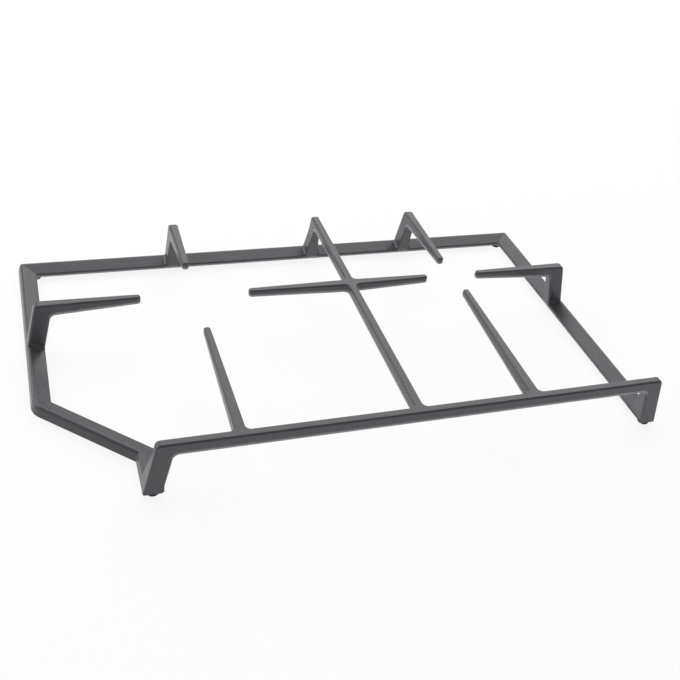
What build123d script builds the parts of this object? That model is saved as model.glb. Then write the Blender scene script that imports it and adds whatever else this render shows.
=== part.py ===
"""Cast-iron pan support for one half of a gas hob, standing on four push-in rubber feet.

Millimetres, +Z up. The origin is on the hob surface, under the middle of the casting.
X runs along the long side, and +Y points from the open front to the back of the ring.
"""
from build123d import *
from math import atan, cos, degrees, radians, sin, tan
import os

# Overall size of the casting
ring_length = 474.0  # along X, over the outer faces where they meet the bottom
ring_depth = 279.6  # along Y, front face of the front bar to the outer face at the back
casting_height = 44.0  # bottom of the ring to the plane that the pans stand on
splay_angle = 11.8  # degrees that every outer face leans in as it rises

# Low ring that carries the uprights
ring_width = 14.4
ring_height = 8.9  # at the outer edge, from which the top slopes down inwards
ring_lip = 3.9  # height left at the inner edge
ring_bevel = 1.3  # bevel under the inner edge
ring_crest_radius = 2.5  # rounding of the outer upper edge, and of the outer corners
lip_radius = 0.9  # rounding of the inner upper edge
inner_corner_radius = 6.0  # rounding of the inner corners in plan

# Cut-off corner at the front left, which leaves room for the hob's knobs
corner_cut_width = 65.6  # left face of the ring to the outer face of the front left leg
corner_cut_start = 93.7  # from the front face to where the left bar turns
corner_cut_end = 32.3  # from the front face to where the ring straightens towards the leg
corner_cut_radius = 1.0  # of the ring's inner edge where the left bar turns

# Bars and fingers of the pan rest
bar_width = 6.8  # front bar with its legs, and spine
bar_height = 10.2  # front bar, and fingers at their roots
spine_height = 8.2  # spine from the cross fingers to the back
finger_width = 8.2  # fingers at their roots
tip_width = 5.4
tip_height = 6.4
tip_corner_radius = 2.4
upright_width = 11.0  # uprights where they leave the ring
leg_depth = 13.0  # front legs where they leave the ring
bend_radius = 3.6  # outer bend where a finger turns down into its upright
armpit_radius = 5.0  # fillet under the same bend
root_radius = 4.0  # fillets at the sides of an upright, where it stands on the ring
junction_radius = 4.0  # fillets in plan where bars and fingers meet
edge_radius = 1.6  # rounding of the upper and outer edges
under_radius = 1.6  # rounding of the lower and inner edges

# Burners under the pan rest, and the spine between them
burner_y = 24.0
large_burner_x = -105.6
large_burner_opening = 43.0  # burner axis to each finger tip
small_burner_x = 117.9
small_burner_opening = 23.4
spine_x = 24.8
left_finger_offset = 3.3  # of the left finger behind the burner axis
small_front_finger_turn = -1.1  # degrees by which the small burner's front finger leans to the right

# Rubber feet
foot_height = 3.0
foot_diameter = 9.0
foot_edge_radius = 0.8
foot_stem_diameter = 4.0
foot_stem_length = 3.5
foot_hole_clearance = 0.1  # on the diameter of the stem's hole
foot_hole_spare = 0.5  # hole depth left above the stem
front_foot_from_front = 5.0  # front face of a leg to the middle of its foot
rear_foot_from_side = 13.6  # side face of the ring to the middle of a rear foot
rear_foot_from_back = 8.6  # back face of the ring to the same

# Places that follow from the sizes above
x_left = -ring_length / 2
x_right = ring_length / 2
y_front = -ring_depth / 2
y_back = ring_depth / 2
x_front_leg = x_left + corner_cut_width
front_bar_y = y_front + bar_width / 2
slope = tan(radians(splay_angle))
ring_crest = ring_height * slope  # outer upper edge, inwards from the outer bottom edge
ring_fall = (ring_height - ring_lip) / (ring_width - ring_crest)  # of the ring's top, inwards
draft_angle = degrees(atan((upright_width - finger_width) / 2 / (casting_height - ring_height)))
junction_clear = 1.5 * junction_radius  # past the end of a junction's fillets
sink = 0.3  # how deep a fillet or a skirt starts inside the bars that it joins
touch = 0.01  # how far apart two places may be and still count as one
ring_start = (x_right, front_bar_y)
ring_turns = [
    (x_right, y_back),
    (x_left, y_back),
    (x_left, y_front + corner_cut_start),
    (x_front_leg, y_front + corner_cut_end),
]
ring_end = (x_front_leg, front_bar_y)
feet = {
    "foot_front_left": (x_front_leg + ring_width / 2, y_front + front_foot_from_front),
    "foot_front_right": (x_right - ring_width / 2, y_front + front_foot_from_front),
    "foot_rear_left": (x_left + rear_foot_from_side, y_back - rear_foot_from_back),
    "foot_rear_right": (x_right - rear_foot_from_side, y_back - rear_foot_from_back),
}


def inner_face(height):
    """Distance of an upright's inner face from its outer foot, at a height above the ring's bottom."""
    return ring_width + (height - ring_lip) * slope


def stub_reach(height):
    """Distance from an upright's outer foot to where its bend has become a bar of a height."""
    return inner_face(casting_height - height) + armpit_radius


def heading_vector(heading):
    """Level unit vector along a heading in degrees from +X."""
    return Vector(cos(radians(heading)), sin(radians(heading)), 0)


def side_plane(x, y, heading):
    """Upright plane: local x follows the heading, local y is the height above the ring's bottom."""
    along = heading_vector(heading)
    return Plane(origin=(x, y, foot_height), x_dir=along, z_dir=along.cross(Vector(0, 0, 1)))


def pan_plane(x, y, heading):
    """Level plane that the pans stand on, facing down: local x follows the heading."""
    level = foot_height + casting_height
    return Plane(origin=(x, y, level), x_dir=heading_vector(heading), z_dir=(0, 0, -1))


def section_foot():
    """Points shared by the ring and the uprights, from the inner lip round to the outer bottom edge."""
    return [(ring_width, ring_lip), (ring_width, ring_bevel), (ring_width - ring_bevel, 0), (0, 0)]


def round_corner(face, corner, radius):
    """Face with the vertex nearest to a corner rounded."""
    return fillet(face.vertices().sort_by_distance((*corner, 0))[0], radius)


def edge_near(body, point):
    """Edge of a body that passes nearest to a point."""
    return body.edges().sort_by_distance(point)[0]


def edges_at_height(body, height):
    """Edges of a body that lie wholly at a height above the ring's bottom."""
    level = foot_height + height
    return [edge for edge in body.edges() if all(abs(v.Z - level) < touch for v in edge.vertices())]


def ring():
    """Open ring along the back, sides and cut-off corner, mitred but for the turn of the left bar."""
    route = Polyline(*[(x, y, foot_height) for x, y in (ring_start, *ring_turns, ring_end)])
    turn = route.vertices().sort_by_distance((*ring_turns[2], foot_height))[0]
    route = fillet(turn, ring_width + corner_cut_radius)
    outline = Polyline(*section_foot(), (ring_crest, ring_height), close=True)
    section = side_plane(*ring_start, 180) * make_face(outline)
    body = sweep(section, path=route, transition=Transition.RIGHT)
    mitres = ring_turns[:2] + ring_turns[3:]
    corners = [edge_near(body, (x, y, foot_height + ring_height / 2)) for x, y in mitres]
    crest = [edge for edge in edges_at_height(body, ring_height) if edge.length > ring_width]
    body = fillet(corners + crest, ring_crest_radius)
    lip = [edge for edge in edges_at_height(body, ring_lip) if edge.length > ring_width]
    return fillet(lip, lip_radius)


def inner_corners():
    """Small webs that round the ring's inner corners, where it turns inwards."""
    outline = Polyline(ring_start, *ring_turns, ring_end, close=True)
    inside = offset(make_face(outline), sink - ring_width, kind=Kind.INTERSECTION)
    corners = [inside.vertices().sort_by_distance((*turn, 0))[0] for turn in ring_turns[:3]]
    webs = inside - fillet(corners, inner_corner_radius)
    return extrude(Pos(0, 0, foot_height + ring_bevel) * webs, amount=ring_lip - ring_bevel - lip_radius / 2)


def rib_side(reach, start_height, end_height, spare):
    """Side view of an upright and its bar, which thins to end_height at reach and runs on by spare."""
    under = casting_height - start_height
    bend = (casting_height * slope, casting_height)
    armpit = (inner_face(under), under)
    rise = (start_height - end_height) / (reach - armpit[0])
    last = reach + spare
    end = [(last, casting_height), (last, under + rise * (last - armpit[0]))]
    face = make_face(Polyline(*section_foot(), bend, *end, armpit, close=True))
    face = round_corner(face, bend, bend_radius)
    return round_corner(face, armpit, armpit_radius)


def finger_plan(reach):
    """Plan of a finger that tapers to a rounded tip at reach."""
    half = finger_width / 2
    half_tip = tip_width / 2
    corners = [(0, half), (reach, half_tip), (reach, -half_tip), (0, -half)]
    taper = make_face(Polyline(*corners, close=True))
    return fillet(taper.vertices().sort_by(Axis.X)[-2:], tip_corner_radius)


def soften_rib(body, x, y, heading, width):
    """Rib with its outer and upper edges rounded, and then its inner and lower edges."""
    frame = side_plane(x, y, heading)
    middle = casting_height / 2
    for distance, radius in ((middle * slope, edge_radius), (inner_face(middle), under_radius)):
        spots = [frame.from_local_coords((distance, middle, side * width / 2)) for side in (-1, 1)]
        body = fillet([edge_near(body, spot) for spot in spots], radius)
    return body


def upright_finger(x, y, heading, reach):
    """Upright with a pointed finger, cast with draft, that ends reach from the outer bottom edge."""
    side = side_plane(x, y, heading) * rib_side(reach, bar_height, tip_height, tip_width)
    plan = pan_plane(x, y, heading) * finger_plan(reach)
    drafted = extrude(plan, amount=casting_height, taper=-draft_angle)
    body = extrude(side, amount=upright_width, both=True) & drafted
    return soften_rib(body, x, y, heading, finger_width)


def bar_bend(x, y, heading, height):
    """Upright that bends over into the start of a straight bar of a height, all as wide as the bar."""
    side = side_plane(x, y, heading) * rib_side(stub_reach(height), height, height, 0)
    return soften_rib(extrude(side, amount=bar_width / 2, both=True), x, y, heading, bar_width)


def skirt(x, y, heading, side, top, foot):
    """Half of an upright that widens from the bar's side at a height to foot from its middle at the ring."""
    start = bar_width / 2 - sink
    base = start + (foot - start) * top / (top - ring_height)
    frame = side_plane(x, y, heading)
    across = Plane(origin=frame.origin, x_dir=frame.z_dir, z_dir=heading_vector(heading) * -1)
    lean = make_face(Polyline(*section_foot(), (top * slope, top), (inner_face(top), top), close=True))
    front = make_face(Polyline((0, 0), (side * base, 0), (side * start, top), (0, top), close=True))
    body = extrude(frame * lean, amount=side * base)
    body &= extrude(across * front, amount=inner_face(top), both=True)
    middle = top / 2
    for distance, radius in ((middle * slope, edge_radius), (inner_face(middle), under_radius)):
        spot = frame.from_local_coords((distance, middle, side * (start + base) / 2))
        body = fillet(edge_near(body, spot), radius)
    return body


def root_fillet(x, y, heading, half, side):
    """Concave fillet between one side of an upright and the sloping top of the ring."""
    along = heading_vector(heading)
    first = ring_crest + ring_crest_radius
    level = ring_height - ring_fall * ring_crest_radius - sink
    frame = side_plane(x, y, heading)
    origin = frame.from_local_coords((first, level, 0))
    plane = Plane(origin=origin, x_dir=frame.z_dir * side, z_dir=along * -side)
    start = half - sink
    end = start + root_radius
    curve = RadiusArc((end, 0), (start, root_radius), root_radius)
    rest = Polyline((start, root_radius), (0, root_radius), (0, -sink), (end, -sink), (end, 0))
    way = along - Vector(0, 0, ring_fall)
    length = (ring_width - lip_radius - first) * way.length
    return extrude(plane * make_face(curve + rest), amount=length, dir=way)


def relief(x, y, heading, under, half_width):
    """Cutter that clears the space below an underside, drawn as points along the heading."""
    floor = casting_height - 2 * bar_height
    outline = Polyline((under[0][0], floor), *under, (under[-1][0], floor), close=True)
    return extrude(side_plane(x, y, heading) * make_face(outline), amount=half_width, both=True)


def finger_relief(x, y, heading, reach, root, root_height):
    """Cutter that thins a finger from its root to its tip."""
    rise = (root_height - tip_height) / (reach - root)
    past = reach + tip_width
    start = casting_height - root_height
    return relief(x, y, heading, [(root, start), (past, start + rise * (past - root))], finger_width)


def outer_rim(body, faces, ends):
    """Edges that bound a group of a body's faces, leaving out those that lie in one of the ends."""
    edges = [edge for face in faces for edge in face.edges()]
    single = [edge for edge in edges if sum(edge.is_same(other) for other in edges) == 1]
    inside = [all(abs(end.to_local_coords(edge.center()).Z) > touch for end in ends) for edge in single]
    return [edge for edge, keep in zip(single, inside) if keep]


def web():
    """Front bar, spine and the fingers on them, as far as the bends of the legs and the spine."""
    bar_start = x_front_leg + stub_reach(bar_height)
    bar_end = x_right - stub_reach(bar_height)
    spine_end = y_back - stub_reach(spine_height)
    half = bar_width / 2
    half_finger = finger_width / 2
    front_reach = burner_y - front_bar_y
    front_fingers = [
        (large_burner_x, front_bar_y, 90, front_reach - large_burner_opening),
        (small_burner_x, front_bar_y, 90 + small_front_finger_turn, front_reach - small_burner_opening),
    ]
    cross_fingers = [
        (spine_x, burner_y, 0, small_burner_x - small_burner_opening - spine_x),
        (spine_x, burner_y, 180, spine_x - large_burner_x - large_burner_opening),
    ]
    plan = Pos((bar_start + bar_end) / 2, front_bar_y) * Rectangle(bar_end - bar_start, bar_width)
    plan += Pos(spine_x, (y_front + spine_end) / 2) * Rectangle(bar_width, spine_end - y_front)
    for x, y, heading, reach in front_fingers + cross_fingers:
        plan += Location((x, y, 0), (0, 0, heading)) * finger_plan(reach)
    roots = [(large_burner_x, half_finger), (small_burner_x, half_finger), (spine_x, half)]
    junctions = [(x + side * across, front_bar_y + half) for x, across in roots for side in (-1, 1)]
    for side in (-1, 1):
        junctions += [(spine_x + side * half, burner_y + end * half_finger) for end in (-1, 1)]
    plan = fillet([plan.vertices().sort_by_distance((*spot, 0))[0] for spot in junctions], junction_radius)

    under = casting_height - bar_height
    body = extrude(Pos(0, 0, foot_height + under) * plan, amount=bar_height)
    root = half + junction_clear
    level_from = front_reach - half_finger - junction_clear
    spine_under = casting_height - spine_height
    spine_line = [(root, under), (level_from, spine_under), (spine_end - front_bar_y, spine_under)]
    body -= relief(spine_x, front_bar_y, 90, spine_line, root)
    for finger in front_fingers:
        body -= finger_relief(*finger, root, bar_height)
    for finger in cross_fingers:
        body -= finger_relief(*finger, root, spine_height)
    ends = [
        Plane(origin=(bar_start, 0, 0), z_dir=(1, 0, 0)),
        Plane(origin=(bar_end, 0, 0), z_dir=(1, 0, 0)),
        Plane(origin=(0, spine_end, 0), z_dir=(0, 1, 0)),
    ]
    top = [face for face in body.faces() if face.normal_at().Z > 1 - touch]
    body = fillet(outer_rim(body, top, ends), edge_radius)
    low = [face for face in body.faces() if face.normal_at().Z < touch - 1]
    return fillet(outer_rim(body, low, ends), under_radius)


def casting():
    """Whole pan support, with blind holes in its bottom for the stems of the feet."""
    fingers = [
        (large_burner_x, y_back, -90, y_back - burner_y - large_burner_opening),
        (small_burner_x, y_back, -90, y_back - burner_y - small_burner_opening),
        (x_left, burner_y + left_finger_offset, 0, large_burner_x - large_burner_opening - x_left),
        (x_right, burner_y, 180, x_right - small_burner_x - small_burner_opening),
    ]
    # Height of the bar, height at which the skirts start, and their reach at the ring
    leg = (bar_height, casting_height - bar_height / 2, leg_depth - bar_width / 2)
    back = (spine_height, casting_height - spine_height - armpit_radius, upright_width / 2)
    bends = [
        (x_front_leg, front_bar_y, 0, *leg, [-1]),
        (x_right, front_bar_y, 180, *leg, [1]),
        (spine_x, y_back, -90, *back, [-1, 1]),
    ]
    body = ring() + inner_corners()
    for x, y, heading, reach in fingers:
        body += upright_finger(x, y, heading, reach)
        body += [root_fillet(x, y, heading, upright_width / 2, side) for side in (-1, 1)]
    for x, y, heading, height, top, foot, sides in bends:
        body += bar_bend(x, y, heading, height)
        for side in sides:
            body += skirt(x, y, heading, side, top, foot)
            body += root_fillet(x, y, heading, foot, side)
    body += web()
    depth = foot_stem_length + foot_hole_spare
    hole = Cylinder((foot_stem_diameter + foot_hole_clearance) / 2, depth)
    for x, y in feet.values():
        body -= Pos(x, y, foot_height + depth / 2) * hole
    return body


def foot(x, y):
    """Rubber button with a stem that is pushed up into the casting."""
    button = Pos(x, y, foot_height / 2) * Cylinder(foot_diameter / 2, foot_height)
    button = fillet(button.edges().sort_by(Axis.Z)[0], foot_edge_radius)
    stem = Cylinder(foot_stem_diameter / 2, foot_stem_length)
    return button + Pos(x, y, foot_height + foot_stem_length / 2) * stem


os.makedirs("parts", exist_ok=True)
export_step(casting(), "parts/grate.step")
for name, place in feet.items():
    export_step(foot(*place), f"parts/{name}.step")
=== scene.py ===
"""Studio picture of a cast-iron hob pan support: satin enamel, rubber feet, white table.

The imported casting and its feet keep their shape. This script gives them their finishes, and adds
the table, the lamps and the camera. Lengths are in metres in the part's own frame, unless a name
says mm.
"""
import logging
from dataclasses import dataclass, field
from enum import Enum
from math import cos, pi, radians, sin, tau
from typing import Any

import bpy
import numpy as np
from bpy.types import Material, Node, NodeSocket, NodeTree, World
from mathutils import Matrix, Vector


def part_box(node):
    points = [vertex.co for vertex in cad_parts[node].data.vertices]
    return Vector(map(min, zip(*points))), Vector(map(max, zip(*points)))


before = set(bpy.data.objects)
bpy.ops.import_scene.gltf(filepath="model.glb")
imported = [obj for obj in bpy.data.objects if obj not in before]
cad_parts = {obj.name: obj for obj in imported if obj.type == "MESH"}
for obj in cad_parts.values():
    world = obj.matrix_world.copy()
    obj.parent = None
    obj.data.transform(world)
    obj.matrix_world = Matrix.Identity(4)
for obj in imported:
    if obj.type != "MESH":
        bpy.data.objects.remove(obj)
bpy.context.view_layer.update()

LOG = logging.getLogger("pan_support")
MM = 0.001
WHITE = "ffffff"
PHOTO_SIDE_PX = 680
Span = tuple[float, float]  # two ends of a range, such as where something starts and is full


def linear(hex_colour: str) -> tuple[float, float, float, float]:
    """Turns an sRGB hex colour into linear RGBA: a straight line near black, and a power above it.

    Args:
        hex_colour: Six hex digits, with or without a leading hash sign.

    Returns:
        Linear red, green, blue, and an alpha of 1.
    """
    digits = hex_colour.lstrip("#")
    coded = np.array([int(digits[i : i + 2], 16) for i in (0, 2, 4)]) / 255.0
    plain = np.where(coded <= 0.04045, coded / 12.92, ((coded + 0.055) / 1.055) ** 2.4)
    return (*plain.tolist(), 1.0)


def add_node(tree: NodeTree, kind: str, inputs: dict[str | int, Any], **settings: Any) -> Node:
    """Adds one node with its settings, and fills or links its inputs.

    Args:
        tree: Node tree that gets the node.
        kind: Blender's type name of the node.
        inputs: Input name or number, with a plain value or the output socket to link from.
        settings: Node properties to set.

    Returns:
        The new node.
    """
    node = tree.nodes.new(kind)
    for name, value in settings.items():
        setattr(node, name, value)
    for name, value in inputs.items():
        if isinstance(value, NodeSocket):
            tree.links.new(value, node.inputs[name])
        else:
            node.inputs[name].default_value = value
    return node


def empty_tree(block: Material | World) -> NodeTree:
    """Switches a material or world to nodes and clears them.

    Args:
        block: Material or world to empty.

    Returns:
        Its bare node tree.
    """
    block.use_nodes = True
    block.node_tree.nodes.clear()
    return block.node_tree


def noise_scale(grain_mm: float) -> float:
    """Noise scale on Object coordinates, in metres, at which one bump is about grain_mm wide."""
    return 1.0 / (grain_mm * MM)


@dataclass(frozen=True)
class CastEnamel:
    """Satin vitreous enamel, sprayed and fired on sand-cast iron.

    The thin glass coat is dark grey with a faint violet tinge. It follows the sand grain of the
    casting, so tops that mirror the studio look lighter and slightly grainy, and sides stay dark.
    Faces that look down are painted greyer and lighter, as painted light from the white table
    below, and lower edges carry a painted pale reflection of the table.
    """

    name: str = "satin_enamel_on_sand_cast_iron"
    thick_coat: str = "3a393c"
    thin_coat: str = "474649"
    painted_table_light_coat: str = "5a595d"  # painted light: greyer and lighter on faces that look down, standing in for light from the white table below
    painted_table_light_span: Span = (0.18, -0.5)  # upward share of the face's direction
    painted_rim_coat: str = "b4b3b7"  # painted reflection: pale along lower edges, standing in for the white table mirrored there
    painted_rim_mm: float = 4.5  # how far from an edge the pale strip can reach
    painted_rim_samples: int = 8
    painted_rim_drop: Span = (0.08, 0.25)  # how far the rounded direction dips below the face's own
    painted_rim_dip: Span = (0.0, -0.12)  # upward share of the rounded direction
    raised_mm: Span = (15.0, 25.0)  # heights between the ring and the raised bars
    leg_back_mm: float = -120.0  # the front legs lie in front of this Y
    upright_limit: float = 0.1  # upward share up to which a face counts as upright
    ior: float = 1.5
    roughness: Span = (0.27, 0.35)  # in the hollows of the sand grain, and on its tops
    sand_span: Span = (0.3, 0.7)  # noise values of those hollows and tops
    pool_mm: float = 22.0  # patches in which the coat ran thicker or thinner
    pool_octaves: float = 3.0
    sand_mm: float = 1.1  # real sand grain is finer: drawn as coarse as it needs to show
    sand_octaves: float = 2.0
    sand_depth_mm: float = 0.1
    ripple_mm: float = 9.0  # slow waviness of the cast skin
    ripple_octaves: float = 1.0
    ripple_depth_mm: float = 0.09

    def build(self) -> Material:
        """Makes the material.

        Returns:
            The enamel with its colour pools, painted light on faces that look down, painted pale
            lower edges, sand grain and waviness.
        """
        material = bpy.data.materials.new(self.name)
        tree = empty_tree(material)
        place = add_node(tree, "ShaderNodeTexCoord", {}).outputs["Object"]
        pools, sand, ripple = (
            add_node(
                tree,
                "ShaderNodeTexNoise",
                {"Vector": place, "Scale": noise_scale(size_mm), "Detail": octaves},
            ).outputs["Fac"]
            for size_mm, octaves in (
                (self.pool_mm, self.pool_octaves),
                (self.sand_mm, self.sand_octaves),
                (self.ripple_mm, self.ripple_octaves),
            )
        )
        roughness = add_node(
            tree,
            "ShaderNodeMapRange",
            {
                "Value": sand,
                "From Min": self.sand_span[0],
                "From Max": self.sand_span[1],
                "To Min": self.roughness[0],
                "To Max": self.roughness[1],
            },
        )
        waves = add_node(
            tree,
            "ShaderNodeBump",
            {"Height": ripple, "Distance": self.ripple_depth_mm * MM},
        ).outputs["Normal"]
        grain = add_node(
            tree,
            "ShaderNodeBump",
            {"Height": sand, "Distance": self.sand_depth_mm * MM, "Normal": waves},
        )
        surface = add_node(
            tree,
            "ShaderNodeBsdfPrincipled",
            {
                "Base Color": self._coat_colour(tree, place, pools),
                "Roughness": roughness.outputs["Result"],
                "IOR": self.ior,
                "Normal": grain.outputs["Normal"],
            },
        )
        add_node(tree, "ShaderNodeOutputMaterial", {"Surface": surface.outputs["BSDF"]})
        return material

    def _coat_colour(self, tree: NodeTree, place: NodeSocket, pools: NodeSocket) -> NodeSocket:
        """Mixes the coat's colour: pools first, then painted light on faces that look down, then
        painted pale lower edges.

        Args:
            tree: Node tree that gets the nodes.
            place: Object coordinates.
            pools: Noise that tells thick coat from thin.

        Returns:
            Socket with the colour.
        """
        facing = add_node(tree, "ShaderNodeNewGeometry", {}).outputs["Normal"]
        upward = add_node(tree, "ShaderNodeSeparateXYZ", {"Vector": facing}).outputs["Z"]
        start, full = self.painted_table_light_span
        # painted light: faces that look down are mixed towards a lighter grey, for the white
        # table's light from below
        under = add_node(
            tree, "ShaderNodeMapRange", {"Value": upward, "From Min": start, "From Max": full}
        ).outputs["Result"]
        # painted reflection: a pale strip along lower edges stands in for the white table mirrored
        # there
        strip = self._painted_rim_strip(tree, place, upward)
        colour: Any = linear(self.thick_coat)  # a plain colour, and then the output of each mix
        for share, coat in (
            (pools, self.thin_coat),
            (under, self.painted_table_light_coat),
            (strip, self.painted_rim_coat),
        ):
            colour = add_node(
                tree,
                "ShaderNodeMix",
                {"Factor": share, "A": colour, "B": linear(coat)},
                data_type="RGBA",
            ).outputs["Result"]
        return colour

    def _painted_rim_strip(self, tree: NodeTree, place: NodeSocket, upward: NodeSocket) -> NodeSocket:
        """Marks the lower edges of the raised bars and of the ring's inner lip, for a painted pale
        reflection of the white table.

        Where the direction of the rounded edge dips below the face's own, a lower edge is near.

        Args:
            tree: Node tree that gets the nodes.
            place: Object coordinates.
            upward: Upward share of the face's direction.

        Returns:
            Socket that is 1 on the strip and 0 away from it.
        """
        where = add_node(tree, "ShaderNodeSeparateXYZ", {"Vector": place}).outputs
        rounded = add_node(
            tree, "ShaderNodeBevel", {"Radius": self.painted_rim_mm * MM}, samples=self.painted_rim_samples
        ).outputs["Normal"]
        dip = add_node(tree, "ShaderNodeSeparateXYZ", {"Vector": rounded}).outputs["Z"]
        drop = add_node(tree, "ShaderNodeMath", {0: upward, 1: dip}, operation="SUBTRACT")
        near_edge, below, raised = (
            add_node(
                tree, "ShaderNodeMapRange", {"Value": value, "From Min": start, "From Max": full}
            ).outputs["Result"]
            for value, (start, full) in (
                (drop.outputs["Value"], self.painted_rim_drop),
                (dip, self.painted_rim_dip),
                (where["Z"], (self.raised_mm[0] * MM, self.raised_mm[1] * MM)),
            )
        )
        behind_legs = add_node(
            tree,
            "ShaderNodeMath",
            {0: where["Y"], 1: self.leg_back_mm * MM},
            operation="GREATER_THAN",
        ).outputs["Value"]
        upright = add_node(
            tree,
            "ShaderNodeMath",
            {0: upward, 1: 0.0, 2: self.upright_limit},
            operation="COMPARE",
        ).outputs["Value"]
        lip = add_node(
            tree, "ShaderNodeMath", {0: behind_legs, 1: upright}, operation="MULTIPLY"
        ).outputs["Value"]
        # places that get the painted pale strip: the raised bars, and the ring's inner lip behind
        # the front legs
        bare = add_node(
            tree, "ShaderNodeMath", {0: raised, 1: lip}, operation="MAXIMUM"
        ).outputs["Value"]
        lower = add_node(
            tree, "ShaderNodeMath", {0: near_edge, 1: below}, operation="MULTIPLY"
        ).outputs["Value"]
        strip = add_node(tree, "ShaderNodeMath", {0: lower, 1: bare}, operation="MULTIPLY")
        return strip.outputs["Value"]


@dataclass(frozen=True)
class MouldedRubber:
    """Matt black silicone rubber from a spark-eroded mould: no mirror image, only a soft sheen."""

    name: str = "matt_moulded_silicone_rubber"
    dark: str = "1d1d1e"
    dusty: str = "2a2a2b"
    ior: float = 1.45
    roughness: float = 0.75
    grain_mm: float = 0.5
    grain_octaves: float = 2.0
    grain_depth_mm: float = 0.02

    def build(self) -> Material:
        """Makes the material.

        Returns:
            The rubber with its fine mould grain.
        """
        material = bpy.data.materials.new(self.name)
        tree = empty_tree(material)
        place = add_node(tree, "ShaderNodeTexCoord", {}).outputs["Object"]
        grain = add_node(
            tree,
            "ShaderNodeTexNoise",
            {
                "Vector": place,
                "Scale": noise_scale(self.grain_mm),
                "Detail": self.grain_octaves,
            },
        ).outputs["Fac"]
        colour = add_node(
            tree,
            "ShaderNodeMix",
            {"Factor": grain, "A": linear(self.dark), "B": linear(self.dusty)},
            data_type="RGBA",
        )
        bump = add_node(
            tree, "ShaderNodeBump", {"Height": grain, "Distance": self.grain_depth_mm * MM}
        )
        surface = add_node(
            tree,
            "ShaderNodeBsdfPrincipled",
            {
                "Base Color": colour.outputs["Result"],
                "Roughness": self.roughness,
                "IOR": self.ior,
                "Normal": bump.outputs["Normal"],
            },
        )
        add_node(tree, "ShaderNodeOutputMaterial", {"Surface": surface.outputs["BSDF"]})
        return material


@dataclass(frozen=True)
class WhiteTable:
    """Matt white table top that fades to white in the picture and keeps a faint shadow."""

    name: str = "matt_white_table"
    colour: str = "f6f6f6"
    washed_out: float = 0.88  # share of the picture's white that takes no shadow

    def build(self) -> Material:
        """Makes the material.

        Returns:
            The table's white, lit like paint and washed out where it is seen.
        """
        material = bpy.data.materials.new(self.name)
        tree = empty_tree(material)
        paint = add_node(tree, "ShaderNodeBsdfDiffuse", {"Color": linear(self.colour)})
        white = add_node(tree, "ShaderNodeEmission", {"Color": linear(WHITE), "Strength": 1.0})
        share = add_node(
            tree,
            "ShaderNodeMath",
            {0: self._seen_directly(tree), 1: self.washed_out},
            operation="MULTIPLY",
        )
        surface = add_node(
            tree,
            "ShaderNodeMixShader",
            {0: share.outputs["Value"], 1: paint.outputs["BSDF"], 2: white.outputs["Emission"]},
        )
        add_node(tree, "ShaderNodeOutputMaterial", {"Surface": surface.outputs["Shader"]})
        return material

    def _seen_directly(self, tree: NodeTree) -> NodeSocket:
        """Tests for rays that show the table: to the camera, in a reflection or through glass.

        Args:
            tree: Node tree that gets the nodes.

        Returns:
            Socket that is 1 for such a ray, and 0 for the rays that only carry light.
        """
        path = add_node(tree, "ShaderNodeLightPath", {}).outputs
        seen = path["Is Camera Ray"]
        for other in ("Is Glossy Ray", "Is Transmission Ray"):
            seen = add_node(
                tree, "ShaderNodeMath", {0: seen, 1: path[other]}, operation="MAXIMUM"
            ).outputs["Value"]
        return seen


class Corner(Enum):
    """Corners of the support that stand on a rubber foot."""

    FRONT_LEFT = "foot_front_left"
    FRONT_RIGHT = "foot_front_right"
    REAR_LEFT = "foot_rear_left"
    REAR_RIGHT = "foot_rear_right"


def dress(node: str, material: Material) -> None:
    """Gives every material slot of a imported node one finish.

    Args:
        node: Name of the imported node.
        material: Finish to show on it.
    """
    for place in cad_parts[node].material_slots:
        place.material = material
    low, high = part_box(node)
    LOG.info("%s wears %s, %.0f mm corner to corner", node, material.name, (high - low).length / MM)


@dataclass
class Casting:
    """The one iron casting: ring, legs, uprights, front bar, spine and fingers."""

    node: str = "grate"
    finish: CastEnamel = field(default_factory=CastEnamel)

    def build(self) -> None:
        """Dresses the casting in its enamel."""
        dress(self.node, self.finish.build())


@dataclass
class RubberFeet:
    """Push-in rubber feet under the legs and the back corners."""

    finish: MouldedRubber = field(default_factory=MouldedRubber)

    def build(self) -> None:
        """Dresses all feet in one rubber."""
        rubber = self.finish.build()
        for corner in Corner:
            dress(corner.value, rubber)


@dataclass(frozen=True)
class Softbox:
    """Square fabric-fronted studio lamp that points at the support."""

    name: str
    azimuth_deg: float  # clockwise from +Y, seen from above
    elevation_deg: float
    distance_m: float
    side_m: float
    radiance: float  # 1 is as bright as white in the picture

    def build(self, aim: Vector) -> None:
        """Hangs the lamp.

        Args:
            aim: Point that the lamp faces.
        """
        lamp = bpy.data.lights.new(self.name, "AREA")
        lamp.shape = "SQUARE"
        lamp.size = self.side_m
        lamp.energy = self.radiance * pi * self.side_m**2
        body = bpy.data.objects.new(self.name, lamp)
        azimuth = radians(self.azimuth_deg)
        elevation = radians(self.elevation_deg)
        away = Vector(
            (sin(azimuth) * cos(elevation), cos(azimuth) * cos(elevation), sin(elevation))
        )
        body.location = aim + away * self.distance_m
        body.rotation_mode = "QUATERNION"
        body.rotation_quaternion = away.to_track_quat("Z", "Y")
        bpy.context.scene.collection.objects.link(body)
        LOG.info("%s hangs at %s", self.name, tuple(round(c, 2) for c in body.location))


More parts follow.
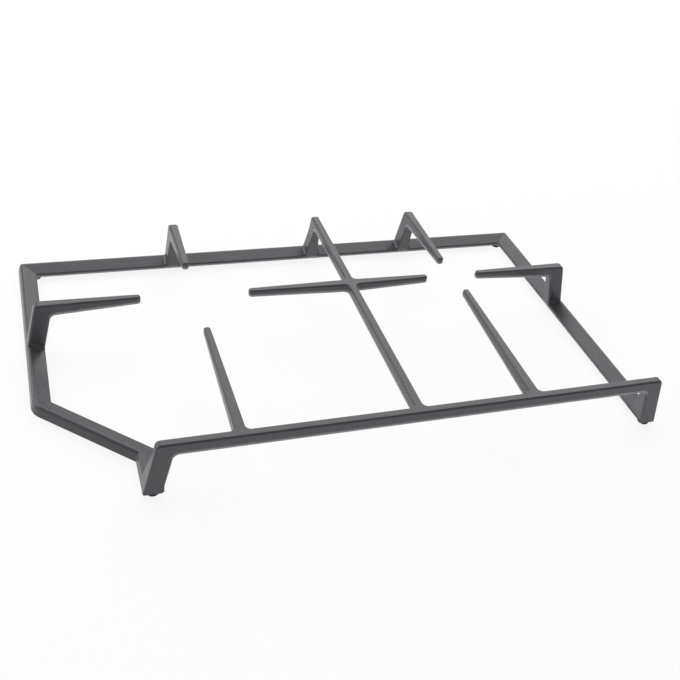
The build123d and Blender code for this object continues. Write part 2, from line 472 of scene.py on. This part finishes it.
@dataclass
class Studio:
    """White table, pale room and soft lamps."""

    table_radius_m: float = 6.0
    table_rings: int = 24
    table_spokes: int = 48
    table: WhiteTable = field(default_factory=WhiteTable)
    wall_light: float = 0.95  # of the white walls, at the table's height
    ceiling_light: float = 0.3  # of the room above the walls
    wall_top: float = 0.35  # height of the walls' upper end, as the sine of its elevation
    lamp_aim_m: tuple[float, float, float] = (0.0, 0.0, 0.02)
    lamps: tuple[Softbox, ...] = (
        Softbox("back_softbox", 23.0, 51.0, distance_m=2.0, side_m=2.5, radiance=1.95),
        Softbox("left_softbox", -60.0, 28.0, distance_m=1.7, side_m=1.3, radiance=2.4),
    )

    def build(self) -> None:
        """Sets up the table, the room and the lamps."""
        self._lay_table()
        self._light_room()
        for lamp in self.lamps:
            lamp.build(Vector(self.lamp_aim_m))

    def _lay_table(self) -> None:
        """Makes the round table top.

        Its points stand on rings at (r cos a, r sin a, 0), with r growing evenly to the rim.
        """
        turn = np.arange(self.table_spokes) * tau / self.table_spokes
        reach = np.linspace(0.0, self.table_radius_m, self.table_rings + 1)[1:]
        radius, angle = np.meshgrid(reach, turn, indexing="ij")
        rings = np.stack(
            [radius * np.cos(angle), radius * np.sin(angle), np.zeros_like(radius)], axis=-1
        )
        points = np.concatenate([np.zeros((1, 3)), rings.reshape(-1, 3)])
        number = np.arange(1, len(points)).reshape(radius.shape)
        onward = np.roll(number, -1, axis=1)
        quads = np.stack([number[:-1], number[1:], onward[1:], onward[:-1]], axis=-1)
        hub = np.stack([np.zeros_like(number[0]), number[0], onward[0]], axis=-1)
        mesh = bpy.data.meshes.new("table_top")
        mesh.from_pydata(points.tolist(), [], [*hub.tolist(), *quads.reshape(-1, 4).tolist()])
        mesh.materials.append(self.table.build())
        table = bpy.data.objects.new("table_top", mesh)
        bpy.context.scene.collection.objects.link(table)
        LOG.info("table top of %d faces", len(mesh.polygons))

    def _light_room(self) -> None:
        """Fills the room with soft light: white walls all round that fade into a dimmer ceiling."""
        world = bpy.data.worlds.new("pale_room")
        tree = empty_tree(world)
        way = add_node(tree, "ShaderNodeTexCoord", {}).outputs["Generated"]
        height = add_node(tree, "ShaderNodeSeparateXYZ", {"Vector": way}).outputs["Z"]
        light = add_node(
            tree,
            "ShaderNodeMapRange",
            {
                "Value": height,
                "From Min": 0.0,
                "From Max": self.wall_top,
                "To Min": self.wall_light,
                "To Max": self.ceiling_light,
            },
            interpolation_type="SMOOTHSTEP",
        ).outputs["Result"]
        room = add_node(tree, "ShaderNodeBackground", {"Color": linear(WHITE), "Strength": light})
        add_node(tree, "ShaderNodeOutputWorld", {"Surface": room.outputs["Background"]})
        bpy.context.scene.world = world
        LOG.info("room of light %.2f to %.2f", self.wall_light, self.ceiling_light)


@dataclass(frozen=True)
class PhotoCamera:
    """Camera at the photograph's place, fitted to the edges of the support."""

    position_mm: tuple[float, float, float] = (-230.8, -565.2, 474.8)
    heading_deg: float = 23.33  # from +Y towards +X
    down_deg: float = 37.372
    roll_deg: float = 8.954  # how far the upright direction leans to the right in the picture
    focal_px: float = 921.37
    sensor_mm: float = 36.0
    sight_m: Span = (0.01, 50.0)  # nearest and furthest distance that it shows

    def build(self) -> None:
        """Places the camera and makes it the scene's own."""
        lens = bpy.data.cameras.new("photo_camera")
        lens.sensor_width = self.sensor_mm
        lens.lens = self.focal_px / PHOTO_SIDE_PX * self.sensor_mm
        lens.clip_start, lens.clip_end = self.sight_m
        camera = bpy.data.objects.new("photo_camera", lens)
        heading = radians(self.heading_deg)
        down = radians(self.down_deg)
        forward = Vector((sin(heading) * cos(down), cos(heading) * cos(down), -sin(down)))
        level = Vector((cos(heading), -sin(heading), 0.0))
        upright = level.cross(forward)
        roll = radians(self.roll_deg)
        right = level * cos(roll) + upright * sin(roll)
        above = right.cross(forward)
        turn = Matrix((right, above, -forward)).transposed()
        camera.matrix_world = Matrix.Translation(Vector(self.position_mm) * MM) @ turn.to_4x4()
        bpy.context.scene.collection.objects.link(camera)
        bpy.context.scene.camera = camera
        LOG.info("camera with a %.1f mm lens", lens.lens)


def main() -> None:
    """Builds the whole picture in order."""
    logging.basicConfig(level=logging.INFO, format="%(name)s: %(message)s")
    bpy.context.scene.view_settings.view_transform = "Standard"
    Casting().build()
    RubberFeet().build()
    Studio().build()
    PhotoCamera().build()


if __name__ == "__main__":
    main()
